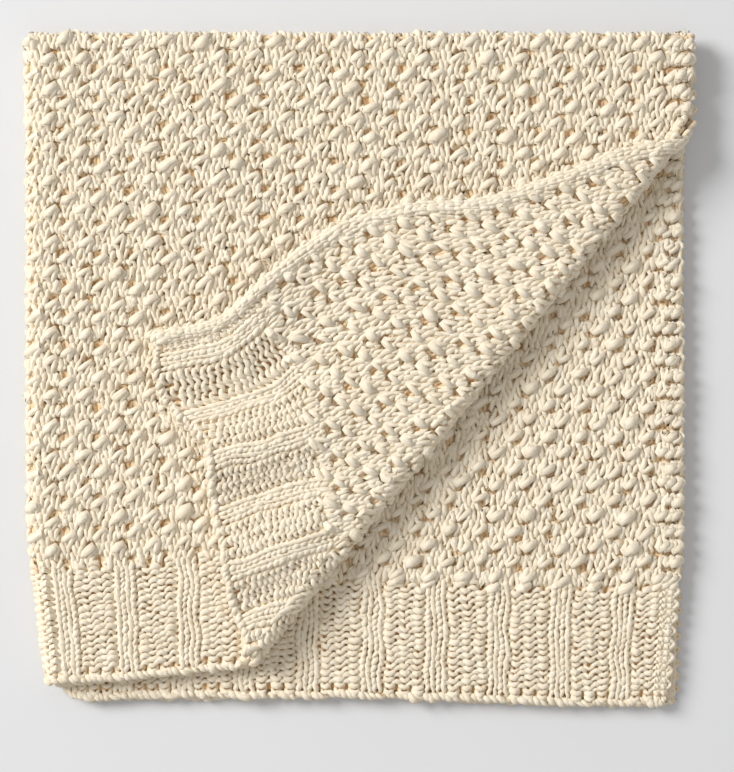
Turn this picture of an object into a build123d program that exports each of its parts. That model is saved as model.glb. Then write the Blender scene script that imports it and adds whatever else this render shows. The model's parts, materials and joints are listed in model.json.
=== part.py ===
"""Folded throw blanket: one knitted cloth, folded in half twice, with a corner turned back.

The cloth is folded over at the far edge and then over at the left edge, so four layers
lie on each other. The two upper layers make a leaf that opens like a book, and the
near right corner of that leaf is turned back over itself along a slanting fold.
Every layer is split where its knitting changes and where a fold begins.

Millimetres, +Z up. The origin is on the underside, under the middle of the bounding box.
+X points to the open side edges and +Y to the folded far edge.
"""

from build123d import *
import math
import os

os.makedirs("parts", exist_ok=True)

# The cloth
cloth = 7.0  # thickness of one layer of knitting
air = 0.5  # space between two layers that lie on each other
pitch = cloth + air
edge_cord = 7.0  # width of the cast-off chain and of the edge stitches
rib_depth = 110.0  # ribbed border, measured in from the cast-off edge

# The folded outline
far_y = 328.0  # outside of the far fold
spine_x = -323.0  # outside of the left fold
upper_side_x = 323.0  # side edges of the upper leaf
lower_side_x = 314.0  # side edges of the lower leaf
upper_hem_y = -300.0
lower_hem_y = -328.0

# Fold axes: a single fold turns two layers and a double fold turns four
single_radius = pitch - air / 2
double_radius = 2 * pitch - air / 2
far_axis_y = far_y - single_radius
spine_axis_x = spine_x + double_radius
spine_axis_z = double_radius
lower_far_axis_z = single_radius
upper_far_axis_z = 2 * pitch + single_radius
joint_gap = 0.15  # each half of a split fold stops this far from the joint's level

# The crease of the turned-back corner, from the hem up to the side edge
crease_hem_end = Vector(-104.0, -292.0)
crease_side_end = Vector(323.0, 230.0)
crease_axis_z = 2 * pitch + double_radius
crease_length = (crease_side_end - crease_hem_end).length
along_crease = (crease_side_end - crease_hem_end).normalized()
out_of_crease = Vector(along_crease.Y, -along_crease.X)
axis_hem_end = crease_hem_end - out_of_crease * double_radius
axis_side_end = crease_side_end - out_of_crease * double_radius

# The turned-back corner's free edges, seen from above. It lies a little askew,
# because its ribs are drawn together, and its side edge bows away from the crease.
# Each line starts outside the corner's tip and ends outside the crease.
tip = Vector(-202, 41)
side_line = [
    Vector(-300, 20),
    tip,
    Vector(-110, 74),
    Vector(-21, 141),
    Vector(101, 166),
    Vector(226, 205),
    Vector(311, 239),
    Vector(400, 285),
]
hem_line = [
    Vector(-212, 140),
    tip,
    Vector(-190, -36),
    Vector(-150, -100),
    Vector(-133, -190),
    Vector(-115, -283),
    Vector(-95, -380),
]
corner_turn = 19.0  # angle of its ribs to +X
rib_run = Vector(math.cos(math.radians(corner_turn)), math.sin(math.radians(corner_turn)))
side_in = Vector(rib_run.Y, -rib_run.X)
face_inset = 15.0  # the outer layer goes round the larger bend, so it ends this much short
reach = 900.0  # past everything else, where a region is only closed


def save(piece, label):
    """Labels a finished solid and writes it under its own name."""
    piece.part.label = label
    export_step(piece.part, f"parts/{label}.step")


def crease_x(y):
    """Where the crease's axis crosses the line at y."""
    return axis_hem_end.X + (y - axis_hem_end.Y) * along_crease.X / along_crease.Y


def crease_y(x):
    """Where the crease's axis crosses the line at x."""
    return axis_side_end.Y + (x - axis_side_end.X) * along_crease.Y / along_crease.X


def panel(label, layer, outline):
    """One flat stretch of a layer; layer 0 lies on the table."""
    with BuildPart() as piece:
        with BuildSketch(Plane.XY.offset(layer * pitch)):
            with BuildLine():
                Polyline(*outline, close=True)
            make_face()
        extrude(amount=cloth)
    save(piece, label)


def whole_layer(name, layer, side_x, hem_y):
    """A layer that keeps all four corners: field, ribbed border and its two edges."""
    side_in_x = side_x - edge_cord
    hem_in_y = hem_y + edge_cord
    rib_y = hem_y + rib_depth
    panel(
        f"{name}_field",
        layer,
        [(spine_axis_x, rib_y), (side_in_x, rib_y), (side_in_x, far_axis_y), (spine_axis_x, far_axis_y)],
    )
    panel(
        f"{name}_rib_border",
        layer,
        [(spine_axis_x, hem_in_y), (side_in_x, hem_in_y), (side_in_x, rib_y), (spine_axis_x, rib_y)],
    )
    panel(
        f"{name}_cast_off_edge",
        layer,
        [(spine_axis_x, hem_y), (side_in_x, hem_y), (side_in_x, hem_in_y), (spine_axis_x, hem_in_y)],
    )
    panel(
        f"{name}_side_edge",
        layer,
        [(side_in_x, hem_y), (side_x, hem_y), (side_x, far_axis_y), (side_in_x, far_axis_y)],
    )


def cut_layer(name, layer, side_x, hem_y):
    """A layer of the upper leaf, which stops where its near corner is turned back."""
    side_in_x = side_x - edge_cord
    hem_in_y = hem_y + edge_cord
    rib_y = hem_y + rib_depth
    panel(
        f"{name}_field",
        layer,
        [
            (spine_axis_x, rib_y),
            (crease_x(rib_y), rib_y),
            (side_in_x, crease_y(side_in_x)),
            (side_in_x, far_axis_y),
            (spine_axis_x, far_axis_y),
        ],
    )
    panel(
        f"{name}_rib_border",
        layer,
        [
            (spine_axis_x, hem_in_y),
            (crease_x(hem_in_y), hem_in_y),
            (crease_x(rib_y), rib_y),
            (spine_axis_x, rib_y),
        ],
    )
    panel(
        f"{name}_cast_off_edge",
        layer,
        [
            (spine_axis_x, hem_y),
            (crease_x(hem_y), hem_y),
            (crease_x(hem_in_y), hem_in_y),
            (spine_axis_x, hem_in_y),
        ],
    )
    panel(
        f"{name}_side_edge",
        layer,
        [
            (side_in_x, crease_y(side_in_x)),
            (side_x, crease_y(side_x)),
            (side_x, far_axis_y),
            (side_in_x, far_axis_y),
        ],
    )


def corner_region(side_inset, hem_inset):
    """The turned-back corner seen from above, with its side edge and its hem drawn in."""
    side = [point + side_in * side_inset for point in side_line]
    hem = [point + rib_run * hem_inset for point in hem_line]
    with BuildSketch() as region:
        with BuildLine():
            Spline(*side)
            Polyline(side[-1], (reach, -reach), (-reach, -reach), side[0])
        make_face()
        with BuildLine():
            Spline(*hem)
            Polyline(hem[-1], (reach, -reach), (reach, reach), hem[0])
        make_face(mode=Mode.INTERSECT)
        with BuildLine():
            Polyline(
                axis_hem_end - along_crease * reach,
                axis_side_end + along_crease * reach,
                axis_side_end + along_crease * reach - out_of_crease * reach,
                axis_hem_end - along_crease * reach - out_of_crease * reach,
                close=True,
            )
        make_face(mode=Mode.INTERSECT)
    return region.sketch


def corner_piece(label, layer, outer, inner=None):
    """The part of the turned-back corner inside one region and outside another."""
    outside = corner_region(*outer)
    inside = corner_region(*inner) if inner else None
    with BuildPart() as piece:
        with BuildSketch(Plane.XY.offset(layer * pitch)):
            add(outside)
            if inside:
                add(inside, mode=Mode.SUBTRACT)
        extrude(amount=cloth)
    save(piece, label)


def corner_layer(name, layer, inset):
    """One layer of the turned-back corner: field, ribbed border and its two edges."""
    edge = inset + edge_cord
    rib = inset + rib_depth
    corner_piece(f"{name}_side_edge", layer, (inset, inset), (edge, inset))
    corner_piece(f"{name}_cast_off_edge", layer, (edge, inset), (edge, edge))
    corner_piece(f"{name}_rib_border", layer, (edge, edge), (edge, rib))
    corner_piece(f"{name}_field", layer, (edge, rib))


def half_bend(label, base, length, inner_radius, upper):
    """Half of a fold that a joint splits: base is the end plane at the fold's axis,
    with its X away from the cloth and its Y up."""
    side = 1 if upper else -1
    outer_radius = inner_radius + cloth
    with BuildPart() as piece:
        with BuildSketch(base):
            Circle(outer_radius)
            Circle(inner_radius, mode=Mode.SUBTRACT)
            with Locations((0, side * joint_gap)):
                Rectangle(
                    outer_radius,
                    outer_radius,
                    align=(Align.MIN, Align.MIN if upper else Align.MAX),
                    mode=Mode.INTERSECT,
                )
        extrude(amount=length)
    save(piece, label)


def far_fold(label, axis_z, side_x, upper):
    """The far fold of one leaf, with the quarter turn that carries it round the left fold."""
    spine_axis = Axis((spine_axis_x, 0, spine_axis_z), (0, 1, 0))
    kept = Keep.TOP if upper else Keep.BOTTOM
    level = spine_axis_z + (joint_gap if upper else -joint_gap)
    section = Plane(origin=(spine_axis_x, far_axis_y, axis_z), x_dir=(0, 1, 0), z_dir=(1, 0, 0))
    with BuildPart() as piece:
        with BuildSketch(section) as profile:
            Circle(single_radius)
            Circle(air / 2, mode=Mode.SUBTRACT)
            Rectangle(
                single_radius,
                2 * single_radius,
                align=(Align.MIN, Align.CENTER),
                mode=Mode.INTERSECT,
            )
        extrude(amount=side_x - spine_axis_x)
        revolve(profile.sketch, axis=spine_axis, revolution_arc=-90 if upper else 90)
        split(bisect_by=Plane.XY.offset(level), keep=kept)
    save(piece, label)


# Lower leaf, which lies on the table
whole_layer("bottom_layer", 0, lower_side_x, lower_hem_y)
whole_layer("second_layer", 1, lower_side_x, lower_hem_y)
far_fold("lower_leaf_far_fold", lower_far_axis_z, lower_side_x, upper=False)

# Upper leaf, without its near right corner
cut_layer("third_layer", 2, upper_side_x, upper_hem_y)
cut_layer("top_layer", 3, upper_side_x, upper_hem_y)
far_fold("upper_leaf_far_fold", upper_far_axis_z, upper_side_x, upper=True)

# Left fold: the top and bottom layers go round the outside, the other two go inside them
for which, inner_radius in (("outer", single_radius + air), ("inner", air / 2)):
    for part_name, hem_y, upper in (("lower", lower_hem_y, False), ("upper", upper_hem_y, True)):
        spine_end = Plane(origin=(spine_axis_x, hem_y, spine_axis_z), x_dir=(-1, 0, 0), z_dir=(0, 1, 0))
        half_bend(
            f"left_fold_{which}_{part_name}_half",
            spine_end,
            far_axis_y - hem_y,
            inner_radius,
            upper,
        )

# Slanting fold of the turned-back corner: the third layer goes round the top layer
crease_end = Plane(
    origin=(axis_side_end.X, axis_side_end.Y, crease_axis_z),
    x_dir=out_of_crease,
    z_dir=-along_crease,
)
for which, inner_radius in (("outer", single_radius + air), ("inner", air / 2)):
    for part_name, upper in (("lower", False), ("upper", True)):
        half_bend(
            f"corner_bend_{which}_{part_name}_half",
            crease_end,
            crease_length,
            inner_radius,
            upper,
        )

# The turned-back corner: the top layer lies face down and the third layer shows its face
corner_layer("corner_under_layer", 4, 0.0)
corner_layer("corner_face_layer", 5, face_inset)
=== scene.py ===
"""A folded throw blanket, knitted stitch by stitch from one yarn.

The cloth is first laid out flat. Its coordinates are s, across the cloth, positive in the
upper leaf and 0 at the left fold; v, up the cloth from the hem of the top layer; and n,
out of its right side. fold() then lays it over the far fold, round the left fold and back
over the slanting fold, onto the layers of the CAD frame.
"""

import json
import math

import bpy
import numpy as np
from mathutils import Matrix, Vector


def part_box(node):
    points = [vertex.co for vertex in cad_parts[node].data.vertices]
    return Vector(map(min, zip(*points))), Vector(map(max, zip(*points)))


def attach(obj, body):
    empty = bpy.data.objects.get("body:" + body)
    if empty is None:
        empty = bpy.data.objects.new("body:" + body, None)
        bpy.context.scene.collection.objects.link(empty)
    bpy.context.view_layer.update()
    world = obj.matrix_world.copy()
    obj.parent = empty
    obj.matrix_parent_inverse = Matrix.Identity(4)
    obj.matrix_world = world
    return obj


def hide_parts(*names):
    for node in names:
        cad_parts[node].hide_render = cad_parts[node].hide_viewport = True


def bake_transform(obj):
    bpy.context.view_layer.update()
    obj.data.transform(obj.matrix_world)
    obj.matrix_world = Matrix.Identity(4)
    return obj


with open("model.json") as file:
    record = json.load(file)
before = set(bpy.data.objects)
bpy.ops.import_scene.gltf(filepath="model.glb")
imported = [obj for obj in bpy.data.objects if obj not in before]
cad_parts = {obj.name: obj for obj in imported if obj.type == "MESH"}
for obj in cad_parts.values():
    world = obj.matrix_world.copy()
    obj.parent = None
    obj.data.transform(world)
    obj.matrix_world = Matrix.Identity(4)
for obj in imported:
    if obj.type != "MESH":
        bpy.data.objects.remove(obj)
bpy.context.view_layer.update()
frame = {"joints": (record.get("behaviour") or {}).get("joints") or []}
rng = np.random.default_rng(11)

MM = 0.001

# ---------------------------------------------------------------- the frame's sizes


def low_high(node):
    """A node's lowest and highest corners, in millimetres."""
    low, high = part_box(node)
    return np.array(low) / MM, np.array(high) / MM


bottom_low, bottom_high = low_high("bottom_layer_field")
second_low, _ = low_high("second_layer_field")
CLOTH = bottom_high[2] - bottom_low[2]
PITCH = second_low[2] - bottom_low[2]
AIR = PITCH - CLOTH
SINGLE = PITCH / 2  # radius of the sheet where one fold turns it against itself
DOUBLE = 1.5 * PITCH  # radius where it goes round another layer
SPINE_X = low_high("bottom_layer_field")[0][0]
SPINE_Z = 2 * PITCH - AIR / 2
FAR_Y = bottom_high[1]
CREASE_Z = SPINE_Z + 2 * PITCH
UPPER_SIDE = low_high("top_layer_side_edge")[1][0]
LOWER_SIDE = low_high("bottom_layer_side_edge")[1][0]

corner_joint = next(j for j in frame["joints"] if j["name"] == "corner_fold")
ALONG = np.array(corner_joint["axis"][:2]) / np.linalg.norm(corner_joint["axis"][:2])
OUT = np.array([ALONG[1], -ALONG[0]])
pivot = np.array(corner_joint["pos_m"][:2]) / MM
JOINT_CLEARANCE = 0.3
crease_reach = SPINE_Z + JOINT_CLEARANCE  # from the bends' axis to the joint's axis
axis_point = pivot - OUT * crease_reach
crease_top = axis_point + ALONG * (UPPER_SIDE - axis_point[0]) / ALONG[0]

# ---------------------------------------------------------------- the flat cloth

BEND = math.pi * DOUBLE  # cloth taken up by a fold of two layers
FAR_HALF = math.pi * SINGLE / 2  # cloth from the far fold's edge to its middle
S_UPPER = UPPER_SIDE - SPINE_X + BEND / 2
S_LOWER = LOWER_SIDE - SPINE_X + BEND / 2
HEM_Y = low_high("bottom_layer_cast_off_edge")[0][1]
V_HALF = FAR_Y - HEM_Y + FAR_HALF
V_WHOLE = 2 * V_HALF

# Where the hems lie, as (x, y) along each leaf. The turned-back corner pulls the top hem up.
UPPER_HEM = [(-308, -306), (-225, -300), (-104, -291), (60, -312), (323, -328)]
LOWER_HEM = [(-308, -307), (-285, -321), (-190, -320), (-60, -319), (70, -323), (230, -328), (314, -329)]

# The turned-back corner's free edges as they lie, from its tip: the side edge and the hem
TIP = (-202, 41)
CORNER_SIDE = [
    TIP,
    (-160, 47),
    (-122, 59),
    (-82, 97),
    (-21, 141),
    (47, 162),
    (117, 167),
    (195, 192),
    (258, 215),
]
CORNER_HEM = [
    TIP,
    (-197, -12),
    (-188, -38),
    (-152, -76),
    (-147, -125),
    (-136, -177),
    (-126, -232),
    (-99, -291),
]
CORNER_TURN = math.radians(19)  # angle of its ribs to the frame's X
FACE_INSET = 4.0  # the edges of the corner's face layer, drawn in from those lines
UNDER_INSET = 3.0  # the same for its under layer


def smooth(t):
    """A smooth step from 0 to 1."""
    t = np.clip(t, 0, 1)
    return t * t * (3 - 2 * t)


def curve(points, steps=40):
    """A smooth line through given points."""
    p = np.array(points, float)
    p = np.vstack([2 * p[0] - p[1], p, 2 * p[-1] - p[-2]])
    t = np.linspace(0, 1, steps, endpoint=False)[:, None]
    spans = [
        0.5 * (2 * b + (c - a) * t + (2 * a - 5 * b + 4 * c - d) * t**2 + (3 * b - a - 3 * c + d) * t**3)
        for a, b, c, d in zip(p, p[1:], p[2:], p[3:])
    ]
    return np.vstack(spans + [p[-2]])


def polar(xy):
    """Distance from the crease's upper end, and angle from the crease towards the cloth."""
    rel = xy - crease_top
    g = -(rel @ ALONG)
    e = -(rel @ OUT)
    return np.hypot(g, e), np.arctan2(e, g)


def unpolar(r, angle):
    """The place at a distance and an angle from the crease's upper end."""
    return crease_top - ALONG * (r * np.cos(angle))[..., None] - OUT * (r * np.sin(angle))[..., None]


def hem_line(points):
    """A hem's line, as x and y for np.interp."""
    line = curve(points)
    return line[:, 0], line[:, 1]


class Warp:
    """Lays one layer of the turned-back corner askew, between its true free edges."""

    def __init__(self, inset):
        run = np.array([math.cos(CORNER_TURN), math.sin(CORNER_TURN)])
        side_in = np.array([run[1], -run[0]])
        side = curve(np.array(CORNER_SIDE, float) + inset * side_in)
        hem = curve(np.array(CORNER_HEM, float) + inset * run)
        h = np.linspace(0, 700, 200)
        self.side_r, self.side_flat = self.flat_polar(h * ALONG[1], h * ALONG[0] - BEND)
        r, a = polar(side)
        order = np.argsort(r)
        self.goal_r, self.goal_a = r[order], a[order]
        x = np.linspace(UPPER_SIDE, -60, 120)
        y = np.interp(x, *hem_line(UPPER_HEM))
        rel = np.stack([x, y], 1) - crease_top
        r, a = self.flat_polar(-(rel @ ALONG), rel @ OUT - BEND)
        a = a * self.squeeze(r)
        order = np.argsort(a)
        self.hem_a, self.hem_r = a[order], r[order]
        r, a = polar(hem)
        order = np.argsort(a)
        self.hem_goal_a, self.hem_goal_r = a[order], r[order]

    @staticmethod
    def flat_polar(g, e):
        """Distance and angle for a place along the crease and a distance in from it."""
        return np.hypot(g, e), np.arctan2(e, g)

    def squeeze(self, r):
        """How much narrower or wider the corner lies at a distance than it would lie flat."""
        goal = np.interp(r, self.goal_r, self.goal_a)
        flat = np.interp(r, self.side_r, self.side_flat)
        near = smooth((r - 60) / 60)
        return 1 + (goal / np.maximum(flat, 0.2) - 1) * near

    def __call__(self, g, e):
        """Distance and angle where a place of the flat cloth comes to lie."""
        r, a = self.flat_polar(g, e)
        a = a * self.squeeze(r)
        flat_hem = np.interp(a, self.hem_a, self.hem_r)
        goal_hem = np.interp(a, self.hem_goal_a, self.hem_goal_r)
        r = r * (1 + (goal_hem / flat_hem - 1) * smooth(r / flat_hem) ** 2)
        return r, a


upper_hem, lower_hem = hem_line(UPPER_HEM), hem_line(LOWER_HEM)
warp_under = Warp(UNDER_INSET)
warp_face = Warp(FACE_INSET)

# Unevenness of hand-laid cloth: (waves across, waves up, phase), for each direction
ripple = rng.uniform(-1, 1, (3, 6, 3))
tremor = rng.uniform(-1, 1, (2, 8, 3))
RIPPLE_LENGTH = 45
TREMOR_LENGTH = 6.5


def waver(s, v, which):
    """Small wandering of rows and wales, over a few stitches."""
    total = np.zeros_like(s)
    for a, b, phase in tremor[which]:
        total += np.sin((a * s + b * v) / TREMOR_LENGTH + phase * 9)
    return total / 3


def unevenness(s, v, which):
    """Slow swells of the cloth, over many stitches."""
    total = np.zeros_like(s)
    for a, b, phase in ripple[which]:
        total += np.sin((a * s + b * v) / RIPPLE_LENGTH + phase * 9)
    return total / 3


# ---------------------------------------------------------------- ribs and stitches

RIB_ROWS = 17
RIB_ROW = 6.45
CAST_OFF = 6.0  # depth of the chain along a hem
EDGE_WALE = 7.0
KNIT_WALE = 10.4
FIELD_WALE = 10.9
FIELD_ROW = 7.7
RIB_REPEATS = 19  # of two knit and three purl wales
DRAWN_UP = 0.55  # how far the curl of the upper side edge draws the last rib to itself


def rib_wales():
    """Wale edges and signs across the border: +1 knit, -1 purl."""
    width = S_UPPER + S_LOWER - 4 * EDGE_WALE
    purl = (width - (RIB_REPEATS + 1) * 2 * KNIT_WALE) / (3 * RIB_REPEATS + 4)
    knit_pair, purls = [(KNIT_WALE, 1)] * 2, [(purl, -1)] * 3
    wales = [(EDGE_WALE, -1)] * 2 + purls[:2]
    wales += (knit_pair + purls) * RIB_REPEATS
    wales[-3:] = [(purl * (1 + 2 * DRAWN_UP / 3), -1)] * 3
    wales += knit_pair + [(purl * (1 - DRAWN_UP), -1)] * 2 + [(EDGE_WALE, 1)] * 2
    widths, signs = np.array(wales).T
    return np.concatenate([[0], np.cumsum(widths)]) - S_LOWER, signs


def field_wales():
    """Wale edges across the field, with two edge wales at each side."""
    inner = S_UPPER + S_LOWER - 4 * EDGE_WALE
    count = round(inner / FIELD_WALE)
    widths = np.array([EDGE_WALE] * 2 + [inner / count] * count + [EDGE_WALE] * 2)
    return np.concatenate([[0], np.cumsum(widths)]) - S_LOWER


rib_edges, rib_signs = rib_wales()
field_edges = field_wales()
rib_pairs = rib_edges[5:-4:5]  # the middles of the knit pairs

PRESSED = 0.6  # share of the stitches' relief left between two layers


def relief(s, v):
    """How much of the stitches' height is left where layers press on each other."""
    plan_x = SPINE_X + np.abs(s) - BEND / 2 - crease_top[0]
    plan_y = FAR_Y - np.maximum(np.abs(V_HALF - v) - FAR_HALF, 0) - crease_top[1]
    beyond = plan_x * OUT[0] + plan_y * OUT[1]
    open_side = np.where(v < V_HALF, 1 - smooth((beyond - 25) / 30), smooth((beyond + 20) / 40))
    open_side = np.where((s < 0) & (v < V_HALF), 0, open_side)
    at_fold = 1 - smooth((np.abs(V_HALF - v) - FAR_HALF) / 20)
    return PRESSED + (1 - PRESSED) * np.maximum(open_side, at_fold * (s > 0))


STEADY_EDGE = 30  # rows and wales stop wandering this close to a hem or a side edge
WAVER = 1.3
PULL_DEPTH = 150  # how far from a hem its ribs still draw the cloth together
SPINE_PULL = 18  # how far the ribs draw each part of the folded outline in, at the hem
BOTTOM_PULL = 4
SECOND_PULL = 13
SPINE_FADE = 90  # how far from those edges the pull is still felt
SIDE_FADE = 70
SWELL_X = 1.7  # slow unevenness
SWELL_Y = 1.6
SWELL_Z = 0.5
CALM_FROM_FOLD = 60  # it grows over this much cloth from the far fold


def drawn_in(flat, q, upper, face):
    """How strongly the ribs draw the cloth in, and where its flat stretches then lie along X."""
    pull = np.clip(1 - (V_HALF - np.abs(q)) / PULL_DEPTH, 0, 1)
    x = flat + SPINE_PULL * pull * np.exp(-np.maximum(flat - SPINE_X, 0) / SPINE_FADE)
    side_pull = np.where(upper, 0, np.where(face, BOTTOM_PULL, SECOND_PULL))
    return pull, x - side_pull * pull * np.exp(-np.maximum(LOWER_SIDE - flat, 0) / SIDE_FADE)


def over_crease(s, v, x, y, z, lifted, face):
    """Turns what lies past the crease back over it: x and y, z and the cloth past it."""
    rel = np.stack([x, y], -1) - crease_top
    g = -(rel @ ALONG)
    e = np.where(lifted, rel @ OUT, -1.0)
    omega = np.clip(e / DOUBLE, 0, math.pi)
    depth = CREASE_Z - z
    bent = e > 0
    on_top = e > BEND
    out = np.where(bent, depth * np.sin(omega), e)
    inside = np.maximum(e - BEND, 0)
    under_r, under_a = warp_under(g, inside)
    face_r, face_a = warp_face(g, inside)
    xy_bend = crease_top - ALONG * g[..., None] + OUT * out[..., None]
    xy_top = unpolar(np.where(face, under_r, face_r), np.where(face, under_a, face_a))
    xy = np.where(bent[..., None], xy_bend, np.stack([x, y], -1))
    xy = np.where(on_top[..., None], xy_top, xy)
    z = np.where(bent, CREASE_Z - depth * np.cos(omega), z)
    return xy, z + np.where(on_top, pleat(s, v, inside), 0), e


def fold(s, v, n):
    """Cloth coordinates to the folded throw: points in millimetres, and how far past
    the crease each one is along the cloth."""
    s, v, n = np.broadcast_arrays(s, v, n)
    n = n * relief(s, v)
    from_hem, from_side = np.minimum(v, V_WHOLE - v), np.minimum(S_UPPER - s, S_LOWER + s)
    inner = smooth(from_hem / STEADY_EDGE) * smooth(from_side / STEADY_EDGE)
    ahead = v + WAVER * waver(s, v, 0) * inner
    s = s + WAVER * waver(s, v, 1) * inner * smooth(np.abs(s) / BEND - 0.5)
    v = ahead

    # Over the far fold
    upper = s > 0
    q = V_HALF - v
    face = q > 0
    flat = SPINE_X + np.abs(s) - BEND / 2
    hem = np.where(upper, np.interp(flat, *upper_hem), np.interp(flat, *lower_hem))
    stretch = (FAR_Y - hem) / (V_HALF - FAR_HALF)
    turn = np.clip(q / SINGLE, -math.pi / 2, math.pi / 2)
    straight = np.maximum(np.abs(q) - FAR_HALF, 0)
    y = FAR_Y - straight * stretch + np.maximum(SINGLE + n, 0.3) * np.cos(turn) * (straight <= 0)
    rise = (SINGLE + n) * np.sin(turn)
    calm = smooth(straight / CALM_FROM_FOLD)
    y = y + SWELL_Y * unevenness(s, v, 0) * calm

    # Round the left fold
    pull, flat_x = drawn_in(flat, q, upper, face)
    psi = np.clip(s / DOUBLE, -math.pi / 2, math.pi / 2)
    reach = PITCH + rise
    past = np.abs(s) > BEND / 2
    x = np.where(past, flat_x, SPINE_X + SPINE_PULL * pull - reach * np.cos(psi))
    x = x + SWELL_X * unevenness(s, v, 1)
    z = SPINE_Z + reach * np.where(past, np.sign(s), np.sin(psi))
    z = z + SWELL_Z * unevenness(s, v, 2) * past * calm * (z > PITCH)

    xy, z, e = over_crease(s, v, x, y, z, upper & past, face)
    return np.concatenate([xy, z[..., None]], -1), e


PLEAT_CREST = 1  # a knit pair that a pleat stands on
PLEAT_HEIGHT = 8.0
PLEAT_SINK = 1.2  # how far the panels lie below the corner's level
GENTLE = 0.62  # share of a pleat that falls gently; the rest is its steep side


def pleat(s, v, inside):
    """The ribs of the turned-back corner stand up, and the panels between them sink."""
    from_hem = np.minimum(v, V_WHOLE - v)
    near = np.interp(s, rib_pairs, np.arange(len(rib_pairs)))
    saw = np.mod(near - PLEAT_CREST, 2) / 2
    gentle = np.cos(math.pi * saw / GENTLE)
    steep = np.cos(math.pi * (saw - GENTLE) / (1 - GENTLE))
    wave = np.where(saw < GENTLE, 0.5 + 0.5 * gentle, 0.5 - 0.5 * steep)
    reach = smooth(1.75 - from_hem / 110) * smooth(inside / 50)
    swell = 1.5 * unevenness(s * 1.7, v * 1.7, 2) * smooth(inside / 90)
    return PLEAT_HEIGHT * wave * reach - PLEAT_SINK * reach + swell


# ---------------------------------------------------------------- the yarn's path

TAU = 2 * math.pi


def row_path(edges, signs, below, above, v, height, style, seed):
    """One row of loops, left to right: cloth coordinates and radius at each step.

    signs are +1 for knit and -1 for purl stitches, in this row and its two neighbours.
    """
    t = np.linspace(0, TAU, style["steps"], endpoint=False)
    noise = np.random.default_rng(seed)

    def varied(share):
        return 1 + share * noise.normal(0, 1, (len(signs), 1)).clip(-2, 2)

    own, below, above = signs[:, None], below[:, None], above[:, None]
    before = np.concatenate([own[:1], own[:-1]])
    after = np.concatenate([own[1:], own[-1:]])
    upper_half = np.cos(t) < 0
    crown = np.clip(-np.cos(t), 0, 1)
    bump = np.clip(-above, 0, 1) * crown ** style["spread"]

    gap = style["window"] * (1 + 0.5 * noise.normal(0, 1, (len(signs), 1)).clip(-2, 2))
    foot_reach = style["foot"] * height * (1 - gap * (below < 0))
    head_reach = style["head"] * height
    head_rise = np.where(above < 0, crown ** style["flat"], crown) * head_reach
    rise = np.where(upper_half, head_rise, -np.cos(t) * foot_reach)
    width = np.diff(edges)[:, None]
    sway = width * np.sin(2 * t) * varied(0.18) * np.where(own < 0, style["purl_sway"], 1)
    x = width * (t / TAU - 0.5) + sway * np.where(upper_half, style["head_swing"], style["swing"])
    x = x * (1 + style["wide"] * bump)
    rise = rise + style["slant"] * bump * x + style["lean"] * x * (own > 0)
    loose = style["jitter"] * noise.normal(0, 1, (2, len(signs), 1)) * np.sin(t / 2) ** 2

    foot = -np.where(t < math.pi, (before + own) / 2, (own + after) / 2)
    ends = np.where(upper_half, -above, foot)
    n = style["depth"] * (own * np.sin(t) ** 2 + ends * np.cos(t) ** 2) + style["proud"] * bump
    radius = style["radius"] * (1 + style["fat"] * bump * varied(0.32)) * np.ones_like(x)
    thin = style["purl_leg"]
    radius = radius * np.where(own < 0, thin + (1 - thin) * bump, 1)
    x = edges[:-1, None] + width / 2 + x + loose[0]
    y = v + rise + loose[1]
    return [a.ravel() for a in (x, y, n, radius)]


# Shares of a stitch, and millimetres for radius, depth, proud and jitter
RIB_STYLE = {
    "steps": 10,  # along one loop
    "radius": 2.55,  # of the yarn
    "depth": 2.1,  # of the loop, in front of and behind the cloth's middle
    "foot": 0.92,  # how far a loop reaches below its row
    "head": 0.92,  # and above it
    "swing": 0.22,  # how far its lower half bows
    "head_swing": 0.22,  # and its upper half
    "purl_sway": 0.6,  # what is left of the bow in a purl stitch
    "purl_leg": 1.0,  # thickness of a purl stitch's legs
    "lean": 0.0,  # how far the knit stitches lean
    "window": 0.0,  # how far the stitch above a purl draws up, which leaves a hole
    "flat": 1.0,  # a low value flattens the top of a purl bump
    "wide": 0.0,  # how much wider and thicker a purl bump is
    "fat": 0.12,
    "spread": 1.5,  # a low value spreads the bump along the loop
    "slant": 0.0,  # how steeply the bump lies across its stitch
    "proud": 0.2,  # how far it stands out
    "jitter": 0.4,  # how loosely each stitch lies
}
FIELD_STYLE = {
    "steps": 12,
    "radius": 2.6,
    "depth": 2.0,
    "foot": 1.0,
    "head": 0.80,
    "swing": 0.20,
    "head_swing": 0.19,
    "purl_sway": 1.0,
    "purl_leg": 0.72,
    "lean": 0.12,
    "window": 1.9,
    "flat": 0.5,
    "wide": 0.95,
    "fat": 0.55,
    "spread": 0.7,
    "slant": 0.6,
    "proud": 0.9,
    "jitter": 1.3,
}


def field_signs(j, count):
    """One purl stitch in three, in every other row; the rows between are knit. The edge
    wales are purl in those rows and knit between them."""
    start = {0: 0, 2: 2}.get(j % 4)
    i = np.arange(count)
    signs = np.where(i % 3 == start, -1, 1) if start is not None else np.ones(count, int)
    signs[:2] = signs[-2:] = 1 if j % 2 else -1
    return signs


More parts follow.
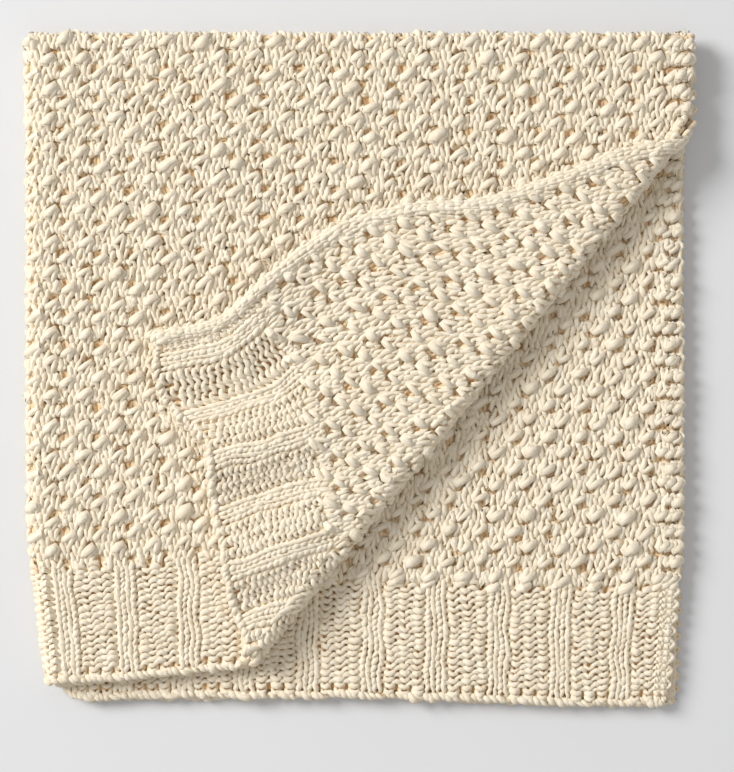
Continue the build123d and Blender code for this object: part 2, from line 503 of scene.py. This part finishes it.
def rows():
    """Every row of the cloth, from one hem to the other: wale edges, signs, height up the
    cloth, row height and style."""
    made = []
    v = CAST_OFF + RIB_STYLE["foot"] * RIB_ROW
    for _ in range(RIB_ROWS):
        made.append((rib_edges, rib_signs, v, RIB_ROW, RIB_STYLE))
        v += RIB_ROW
    field_start = v - RIB_ROW / 2
    field_count = round((V_WHOLE - 2 * field_start) / FIELD_ROW)
    height = (V_WHOLE - 2 * field_start) / field_count
    count = len(field_edges) - 1
    inner = np.array([0] * 3 + [1] * (count - 5) + [0] * 3)
    for j in range(field_count):
        middle = field_start + (j + 0.5) * height
        sway = FIELD_WALE / 4 * math.cos(math.pi * (j + 1) / 2)
        signs = field_signs(j, count)
        signs[-2:] = 1 if middle > V_HALF else signs[0]
        made.append((field_edges + sway * inner, signs, middle, height, FIELD_STYLE))
    for j in reversed(range(RIB_ROWS)):
        made.append((rib_edges, rib_signs, V_WHOLE - made[j][2], RIB_ROW, RIB_STYLE))
    return made


SLUB = 0.25  # share by which the yarn grows thicker or thinner
SLUB_STEP = 9.0  # length of a thick or thin place


def slub(length, seed, step=SLUB_STEP):
    """Thick and thin places along a yarn."""
    noise = np.random.default_rng(seed)
    knots = noise.normal(0, 1, int(length[-1] / step) + 3)
    knots = (knots[:-1] + knots[1:]) / 2
    return np.interp(length / step, np.arange(len(knots)), knots)


def main_yarn():
    """The one yarn of the cloth, to and fro: cloth coordinates and radius."""
    parts = []
    every = rows()

    def neighbour(k, signs):
        """The signs of a row next to this one, or this row's own where the wales differ."""
        near = every[min(max(k, 0), len(every) - 1)][1]
        return near if len(near) == len(signs) else signs

    for j, (edges, signs, v, height, style) in enumerate(every):
        below, above = neighbour(j - 1, signs), neighbour(j + 1, signs)
        path = row_path(edges, signs, below, above, v, height, style, 100 + j)
        parts.append(np.stack(path)[:, :: -1 if j % 2 else 1])
        if j + 1 < len(every):
            _, _, next_v, next_height, next_style = every[j + 1]
            parts.append(row_turn(parts[-1][1, -1], next_v - next_style["foot"] * next_height, j % 2 == 0))
    path = np.concatenate(parts, 1)
    path[2] += roll(path[0], path[1])
    length = distances(path)
    path[3] *= 1 + SLUB * np.clip(slub(length, 5), -1.3, 2.2)
    return path, length


ROLL_HEIGHT = 3.0


def roll(s, v):
    """The side edge that shows on the turned-back corner curls into a soft roll."""
    off_crest = (S_UPPER - s - EDGE_WALE) / (EDGE_WALE * 1.15)
    return ROLL_HEIGHT * (v > V_HALF) * np.clip(1 - off_crest**2, 0, 1)


TURN_REACH = 3.2
TURN_YARN = 2.4


def row_turn(start, end, at_upper_side):
    """The small loop from the end of one row up to the next."""
    t = np.linspace(0, 1, 7)[1:-1]
    reach = TURN_REACH * np.sin(math.pi * t)
    s = S_UPPER + reach if at_upper_side else -S_LOWER - reach
    return np.stack([s, start + (end - start) * t, reach / 2, np.full_like(t, TURN_YARN)])


def distances(path):
    """How far along its yarn each step of a path is."""
    step = np.linalg.norm(np.diff(path[:3], axis=1), axis=0)
    return np.concatenate([[0], np.cumsum(step)])


HEM_TWIST = 12.5  # length in which the hem's strands wind once round each other
HEM_YARN = 2.8
HEM_WIDTH = 1.8
HEM_DEPTH = 2.0
HEM_KNOTS = 9.0  # the strands change their course and thickness this often
HEM_STEP = 1.3


def cast_off(v, seed):
    """The uneven chain along a hem: two strands that wind round each other."""
    s = np.arange(-S_LOWER, S_UPPER, HEM_STEP)
    knots = np.arange(-S_LOWER - 10, S_UPPER + 20, HEM_KNOTS)
    chains = []
    for strand, phase in enumerate((0, math.pi)):
        noise = np.random.default_rng(seed + strand)
        loose, hurry, lumps = (np.interp(s, knots, noise.normal(0, 1, len(knots))) for _ in range(3))
        turn = TAU * s / HEM_TWIST + phase + 0.9 * hurry
        up = v + HEM_WIDTH * np.cos(turn) + 1.1 * loose
        out = HEM_DEPTH * np.sin(turn) + 0.4 * loose
        path = np.vstack([s, up, out, HEM_YARN * (1 + 0.25 * lumps.clip(-1.2, 2.0))])
        chains.append((path, distances(path)))
    return chains


# ---------------------------------------------------------------- meshes

SIDES = 6
ring = np.linspace(0, TAU, SIDES, endpoint=False)


def tube_points(path):
    """The rings of a tube round a path in cloth coordinates, folded into place."""
    s, v, n, radius = path
    centre, e = fold(s, v, n)
    outer, _ = fold(s, v, n + 0.4)
    inner, _ = fold(s, v, n - 0.4)
    normal = outer - inner
    tangent = np.gradient(centre, axis=0)
    tangent /= np.linalg.norm(tangent, axis=1, keepdims=True) + 1e-9
    side = np.cross(tangent, normal)
    side /= np.linalg.norm(side, axis=1, keepdims=True) + 1e-9
    up = np.cross(side, tangent) * relief(s, v)[:, None]
    rings = (
        centre[:, None]
        + radius[:, None, None]
        * (np.cos(ring)[None, :, None] * side[:, None] + np.sin(ring)[None, :, None] * up[:, None])
    )
    return rings, e


def new_mesh(name, points, faces, attributes, material):
    """An object from arrays: points in millimetres, and faces of four corners."""
    mesh = bpy.data.meshes.new(name)
    mesh.vertices.add(len(points))
    mesh.vertices.foreach_set("co", (points * MM).astype(np.float32).ravel())
    mesh.loops.add(faces.size)
    mesh.loops.foreach_set("vertex_index", faces.astype(np.int32).ravel())
    mesh.polygons.add(len(faces))
    mesh.polygons.foreach_set("loop_start", np.arange(0, faces.size, 4, dtype=np.int32))
    mesh.polygons.foreach_set("use_smooth", np.ones(len(faces), bool))
    for label, values in attributes.items():
        kind = "FLOAT_VECTOR" if values.ndim == 2 else "FLOAT"
        layer = mesh.attributes.new(label, kind, "POINT")
        key = "vector" if values.ndim == 2 else "value"
        layer.data.foreach_set(key, values.astype(np.float32).ravel())
    mesh.update()
    mesh.validate()
    mesh.materials.append(plain_cotton)
    piece = bpy.data.objects.new(name, mesh)
    piece.material_slots[0].link = "OBJECT"
    piece.material_slots[0].material = material
    bpy.context.scene.collection.objects.link(piece)
    return piece


def part_of(points, faces, chosen, attributes):
    """Only the chosen faces and the points that they use."""
    kept = faces[chosen]
    used, kept = np.unique(kept, return_inverse=True)
    return points[used], kept.reshape(-1, 4), {k: a[used] for k, a in attributes.items()}


LAYERS = {  # (upper side of the left fold, face of the throw): name
    (False, True): "bottom_layer",
    (False, False): "second_layer",
    (True, False): "third_layer",
    (True, True): "top_layer",
}
UPPER, LOWER, CORNER = "upper_leaf", "lower_leaf", "turned_corner"
FOLD_ROOM = FAR_HALF + 4.0  # cloth on each side of the far fold's middle


def regions(s, v, e):
    """Sorts places on the cloth by name of fold or layer."""
    q = V_HALF - v
    in_spine = np.abs(s) < BEND / 2
    in_crease = (e > 0) & (e < BEND)
    on_corner = e >= BEND
    in_far = np.abs(q) < FOLD_ROOM
    flat = ~in_spine & ~in_crease & ~on_corner
    found = {
        "left_fold_outer": in_spine & ~in_far & (q > 0),
        "left_fold_inner": in_spine & ~in_far & (q <= 0),
        "left_fold_far_end": in_spine & in_far,
        "corner_bend_inner": in_crease & (q > 0),
        "corner_bend_outer": in_crease & (q <= 0),
        "upper_leaf_far_fold": flat & in_far & (s > 0),
        "lower_leaf_far_fold": flat & in_far & (s <= 0),
        "corner_under_layer": on_corner & (q > 0),
        "corner_face_layer": on_corner & (q <= 0),
    }
    for (upper, face), name in LAYERS.items():
        found[name] = flat & ~in_far & ((s > 0) == upper) & ((q > 0) == face)
    return found


FIELD_FROM = CAST_OFF + (RIB_ROWS + 0.4) * RIB_ROW
FIELD_BANDS = 4  # pieces that each layer's field is cut into, to keep each one small
FIELD_BAND = (V_HALF - FIELD_FROM) / FIELD_BANDS + 1


def place(piece, name):
    """Rides a piece on its body, or leaves a piece of a fold where it lies, on no body."""
    if name.startswith("left_fold"):
        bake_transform(piece)
    elif name.startswith("corner_bend"):
        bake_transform(piece)
    elif name.startswith("corner"):
        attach(piece, CORNER)
    elif name.startswith(("upper", "third", "top")):
        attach(piece, UPPER)
    else:
        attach(piece, LOWER)


def stands_for(name, kind):
    """Hides the CAD solids that a piece replaces."""
    if name in ("upper_leaf_far_fold", "lower_leaf_far_fold"):
        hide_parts(name)
    elif name in ("left_fold_outer", "left_fold_inner", "corner_bend_outer", "corner_bend_inner"):
        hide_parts(f"{name}_lower_half", f"{name}_upper_half")
    elif kind:
        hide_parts(f"{name}_{kind}")


made_pieces = {}


def add_piece(name, kind, extra, points, faces, chosen, attributes, material):
    """Makes one piece from the chosen faces, and puts it in the frame."""
    if not chosen.any():
        return
    own = part_of(points, faces, chosen, attributes)
    label = "_".join(part for part in (name, kind, extra, "yarn") if part)
    piece = new_mesh(label, *own, material)
    place(piece, name)
    stands_for(name, kind)
    made_pieces.setdefault(name, []).append(piece)


def tube_faces(count):
    """The faces between one ring of a tube and the next."""
    k = np.arange(count - 1)[:, None] * SIDES
    a = np.arange(SIDES)[None]
    b = (a + 1) % SIDES
    return np.stack([k + a, k + SIDES + a, k + SIDES + b, k + b], -1).reshape(-1, 4)


def between(steps):
    """The middle of each pair of neighbouring steps."""
    return (steps[:-1] + steps[1:]) / 2


def add_yarn(path, length, material, hem=False):
    """Cuts a yarn at the folds and borders, and adds its pieces."""
    rings, e = tube_points(path)
    s, v, n, radius = path
    faces = tube_faces(len(s))
    ms, mv, me = between(s), between(v), between(e)
    named = regions(ms, mv, me)
    inside = n[:, None] + radius[:, None] * np.sin(ring)[None]
    wound = length[:, None] + 0 * ring[None]
    strand = np.stack(
        [wound, radius[:, None] * np.cos(ring)[None], radius[:, None] * np.sin(ring)[None]], -1
    )
    # height is the distance from the cloth's middle; where it is small, the yarn's colour paints tan shade
    # into the depth of the cloth
    attributes = {"height": np.abs(inside).ravel(), "strand": strand.reshape(-1, 3) * MM}
    points = rings.reshape(-1, 3)
    from_hem = np.minimum(mv, V_WHOLE - mv)
    at_side = (ms > S_UPPER - 2 * EDGE_WALE) | (ms < -S_LOWER + 2 * EDGE_WALE)
    for name, chosen in named.items():
        if name.endswith("_layer"):
            if hem:
                kinds = {("cast_off_edge", ""): chosen}
            else:
                rib = from_hem < FIELD_FROM
                kinds = {
                    ("side_edge", ""): chosen & at_side,
                    ("rib_border", ""): chosen & ~at_side & rib,
                }
                for band in range(FIELD_BANDS):
                    in_band = (from_hem - FIELD_FROM) // FIELD_BAND == band
                    kinds["field", str(band + 1)] = chosen & ~at_side & ~rib & in_band
        else:
            kinds = {("", "hem" if hem else ""): chosen}
        for (kind, extra), which in kinds.items():
            add_piece(name, kind, extra, points, faces, np.repeat(which, SIDES), attributes, material)


# ---------------------------------------------------------------- materials


def node(tree, kind, inputs=None, **settings):
    """A new node with its input values and its settings."""
    made = tree.nodes.new(kind)
    for key, value in settings.items():
        setattr(made, key, value)
    for key, value in (inputs or {}).items():
        made.inputs[key].default_value = value
    return made


def new_material(name):
    """A material's own node tree and shader, ready to be filled."""
    material = bpy.data.materials.new(name)
    material.use_nodes = True
    return material, material.node_tree, material.node_tree.nodes["Principled BSDF"]


def ramp_between(tree, source, low, low_colour, high, high_colour):
    """A colour that goes from one to another as a value rises from low to high."""
    ramp = node(tree, "ShaderNodeValToRGB")
    first, last = ramp.color_ramp.elements
    first.position, first.color = low, low_colour
    last.position, last.color = high, high_colour
    tree.links.new(source, ramp.inputs["Fac"])
    return ramp


def shaded(tree, colour, shades, share):
    """A colour multiplied by a share of some shades."""
    mix = node(tree, "ShaderNodeMix", data_type="RGBA", blend_type="MULTIPLY")
    mix.inputs["Factor"].default_value = share
    tree.links.new(colour, mix.inputs["A"])
    tree.links.new(shades, mix.inputs["B"])
    return mix.outputs["Result"]


def rough_surface(tree, shader, height, strength, distance):
    """Fibres that stand out of a surface."""
    bump = node(tree, "ShaderNodeBump", {"Strength": strength, "Distance": distance})
    tree.links.new(height, bump.inputs["Height"])
    tree.links.new(bump.outputs["Normal"], shader.inputs["Normal"])


WHITE = (1.0, 1.0, 1.0, 1)


def painted_depth_shade(tree):
    """Cream where the yarn is proud, and a painted warm tan shade in the depth of the cloth, where the
    stitches shade each other.
    """
    height = node(tree, "ShaderNodeAttribute", attribute_name="height")
    depth = node(tree, "ShaderNodeMapRange", {"From Min": -0.4, "From Max": 3.4})
    depth.interpolation_type = "SMOOTHSTEP"
    tree.links.new(height.outputs["Fac"], depth.inputs["Value"])
    # painted shade: the tan and the middle colour stand for the shade and warm bounce light between the
    # stitches
    painted_shade_tan, proud = (0.88, 0.67, 0.42, 1), (0.95, 0.865, 0.715, 1)
    ramp = ramp_between(tree, depth.outputs["Result"], 0, painted_shade_tan, 1, proud)
    ramp.color_ramp.elements.new(0.45).color = (0.94, 0.82, 0.63, 1)
    return ramp.outputs["Color"]


def yarn_patches(tree):
    """Paler and darker stretches of the cloth."""
    place_node = node(tree, "ShaderNodeTexCoord")
    noise = node(tree, "ShaderNodeTexNoise", {"Scale": 60.0, "Detail": 3.0, "Roughness": 0.6})
    tree.links.new(place_node.outputs["Object"], noise.inputs["Vector"])
    dark = (0.86, 0.80, 0.70, 1)
    return ramp_between(tree, noise.outputs["Fac"], 0.3, dark, 0.7, WHITE).outputs["Color"]


def yarn_fibres(tree):
    """Noise drawn out along the strand."""
    strand = node(tree, "ShaderNodeAttribute", attribute_name="strand")
    stretch = node(tree, "ShaderNodeMapping")
    stretch.inputs["Scale"].default_value = (90, 700, 700)
    tree.links.new(strand.outputs["Vector"], stretch.inputs["Vector"])
    look = {"Scale": 1.0, "Detail": 4.0, "Roughness": 0.65, "Distortion": 0.6}
    noise = node(tree, "ShaderNodeTexNoise", look)
    tree.links.new(stretch.outputs["Vector"], noise.inputs["Vector"])
    return noise.outputs["Fac"]


def yarn_material():
    """Soft cotton slub yarn."""
    material, tree, shader = new_material("cotton_yarn")
    fibres = yarn_fibres(tree)
    streaks = ramp_between(tree, fibres, 0.32, (0.74, 0.66, 0.55, 1), 0.62, WHITE)
    # the yarn's colour carries painted shade in the depth of the cloth
    colour = shaded(tree, painted_depth_shade(tree), yarn_patches(tree), 0.5)
    colour = shaded(tree, colour, streaks.outputs["Color"], 0.55)
    tree.links.new(colour, shader.inputs["Base Color"])
    rough_surface(tree, shader, fibres, 0.9, 0.0011)
    shader.inputs["Roughness"].default_value = 0.88
    shader.inputs["Specular IOR Level"].default_value = 0.1
    shader.inputs["Sheen Weight"].default_value = 0.4
    shader.inputs["Sheen Roughness"].default_value = 0.5
    shader.inputs["Sheen Tint"].default_value = (1.0, 0.93, 0.80, 1)
    return material


def shade_sheet_material():
    """Painted shade: a dark tan for the sheet behind the stitches, which stands for the shade seen through
    the holes between them.
    """
    material, tree, shader = new_material("painted_shade_sheet")
    place_node = node(tree, "ShaderNodeTexCoord")
    look = {"Scale": 260.0, "Detail": 5.0, "Roughness": 0.7}
    fibres = node(tree, "ShaderNodeTexNoise", look).outputs["Fac"]
    tree.links.new(place_node.outputs["Object"], fibres.node.inputs["Vector"])
    # dark and light tan of the painted shade; the noise only varies it at random
    dark, light = (0.50, 0.27, 0.11, 1), (0.78, 0.50, 0.26, 1)
    ramp = ramp_between(tree, fibres, 0.35, dark, 0.7, light)
    tree.links.new(ramp.outputs["Color"], shader.inputs["Base Color"])
    rough_surface(tree, shader, fibres, 1.0, 0.001)
    shader.inputs["Roughness"].default_value = 0.95
    return material


def plain_material():
    """The yarn's plain colour, which every mesh carries under its own material."""
    material, _, shader = new_material("plain_cotton")
    shader.inputs["Base Color"].default_value = (0.86, 0.78, 0.64, 1)
    shader.inputs["Roughness"].default_value = 0.9
    return material


# ---------------------------------------------------------------- shade sheet: painted shade behind the stitches

SHADE_SHEET_N = -1.4  # behind the middle of the cloth
SHADE_SHEET_STEP = 9.0


def cell_middles(grid):
    """The middle of each cell of a grid of values."""
    return ((grid[:-1, :-1] + grid[1:, :-1] + grid[1:, 1:] + grid[:-1, 1:]) / 4).ravel()


def add_shade_sheet(material):
    """A thin sheet just under the stitches, in painted shade that shows through the holes between them.
    A thin web just under the stitches, declared as the sheet that they belong to.
    """
    s = np.linspace(-S_LOWER + 8, S_UPPER - 8, round((S_UPPER + S_LOWER) / SHADE_SHEET_STEP))
    v = np.linspace(9, V_WHOLE - 9, round(V_WHOLE / SHADE_SHEET_STEP))
    grid_s, grid_v = np.meshgrid(s, v, indexing="ij")
    points, e = fold(grid_s, grid_v, np.full_like(grid_s, SHADE_SHEET_N))
    rows_s, rows_v = grid_s.shape
    index = np.arange(rows_s * rows_v).reshape(rows_s, rows_v)
    faces = np.stack([index[:-1, :-1], index[1:, :-1], index[1:, 1:], index[:-1, 1:]], -1).reshape(-1, 4)
    named = regions(cell_middles(grid_s), cell_middles(grid_v), cell_middles(e))
    groups = {
        "lower_leaf_shade_sheet": ("bottom_layer", "second_layer", "lower_leaf_far_fold"),
        "upper_leaf_shade_sheet": ("third_layer", "top_layer", "upper_leaf_far_fold"),
        "corner_shade_sheet": ("corner_under_layer", "corner_face_layer"),
    }
    cell = (s[1] - s[0]) * (v[1] - v[0]) * MM * MM
    flat_points = points.reshape(-1, 3)
    made = []
    for label, names in groups.items():
        chosen = np.any([named[name] for name in names], axis=0)
        own = part_of(flat_points, faces, chosen, {})
        piece = new_mesh(label, *own, material)
        place(piece, names[0])
        across = (np.ptp(cell_middles(grid_s)[chosen]) + SHADE_SHEET_STEP) * MM
        along = V_WHOLE * MM
        area = chosen.sum() * cell
        on_it = [p for name in names for p in made_pieces.get(name, [])]
        made.append((piece, (across, along), area, on_it))
    strips = {
        "left_fold_outer_shade_sheet": "left_fold_outer",
        "left_fold_inner_shade_sheet": "left_fold_inner",
        "left_fold_far_end_shade_sheet": "left_fold_far_end",
        "corner_bend_outer_shade_sheet": "corner_bend_outer",
        "corner_bend_inner_shade_sheet": "corner_bend_inner",
    }
    extra = []
    for label, name in strips.items():
        own = part_of(flat_points, faces, named[name], {})
        piece = new_mesh(label, *own, material)
        place(piece, name)
        extra += [piece] + made_pieces.get(name, [])
    for piece, flat, area, on_it in made:
        if piece.name == "lower_leaf_shade_sheet":
            on_it = on_it + extra


# ---------------------------------------------------------------- light, floor and camera


FLOOR_Z = -0.0005
CAMERA_PLACE = (0.0087, -0.0154, 1.79)


def add_stage():
    """A plain pale floor."""
    bpy.ops.mesh.primitive_plane_add(size=8, location=(0, 0, FLOOR_Z))
    floor = bpy.context.object
    floor.name = "floor"
    material, _, shader = new_material("floor")
    shader.inputs["Base Color"].default_value = (0.70, 0.70, 0.705, 1)
    shader.inputs["Roughness"].default_value = 0.9
    shader.inputs["Specular IOR Level"].default_value = 0.0
    floor.data.materials.append(material)


def add_light(name, place_m, size, power):
    """A soft round lamp that faces the throw."""
    data = bpy.data.lights.new(name, "AREA")
    data.shape = "DISK"
    data.size = size
    data.energy = power
    lamp = bpy.data.objects.new(name, data)
    bpy.context.scene.collection.objects.link(lamp)
    lamp.location = place_m
    lamp.rotation_mode = "QUATERNION"
    lamp.rotation_quaternion = (-Vector(place_m)).to_track_quat("-Z", "Y")


def add_camera():
    """Straight above, with a long lens."""
    data = bpy.data.cameras.new("camera")
    data.lens = 85
    data.sensor_width = 36
    camera = bpy.data.objects.new("camera", data)
    bpy.context.scene.collection.objects.link(camera)
    camera.location = CAMERA_PLACE
    bpy.context.scene.camera = camera


def add_world():
    """Even white light from all round."""
    world = bpy.data.worlds.new("world")
    world.use_nodes = True
    world.node_tree.nodes["Background"].inputs["Color"].default_value = (1, 1, 1, 1)
    world.node_tree.nodes["Background"].inputs["Strength"].default_value = 0.46
    bpy.context.scene.world = world


add_camera()
add_stage()
add_light("key", (-4.7, 2.3, 3.5), 2.8, 430)
add_light("fill", (0.9, -1.2, 2.4), 2.5, 6)
add_world()
bpy.context.scene.view_settings.view_transform = "Standard"

plain_cotton = plain_material()
yarn = yarn_material()
add_yarn(*main_yarn(), yarn)
for hem_v, hem_seed in ((CAST_OFF / 2 + 1, 31), (V_WHOLE - CAST_OFF / 2 - 1, 41)):
    for chain, chain_length in cast_off(hem_v, hem_seed):
        add_yarn(chain, chain_length, yarn, hem=True)
add_shade_sheet(shade_sheet_material())
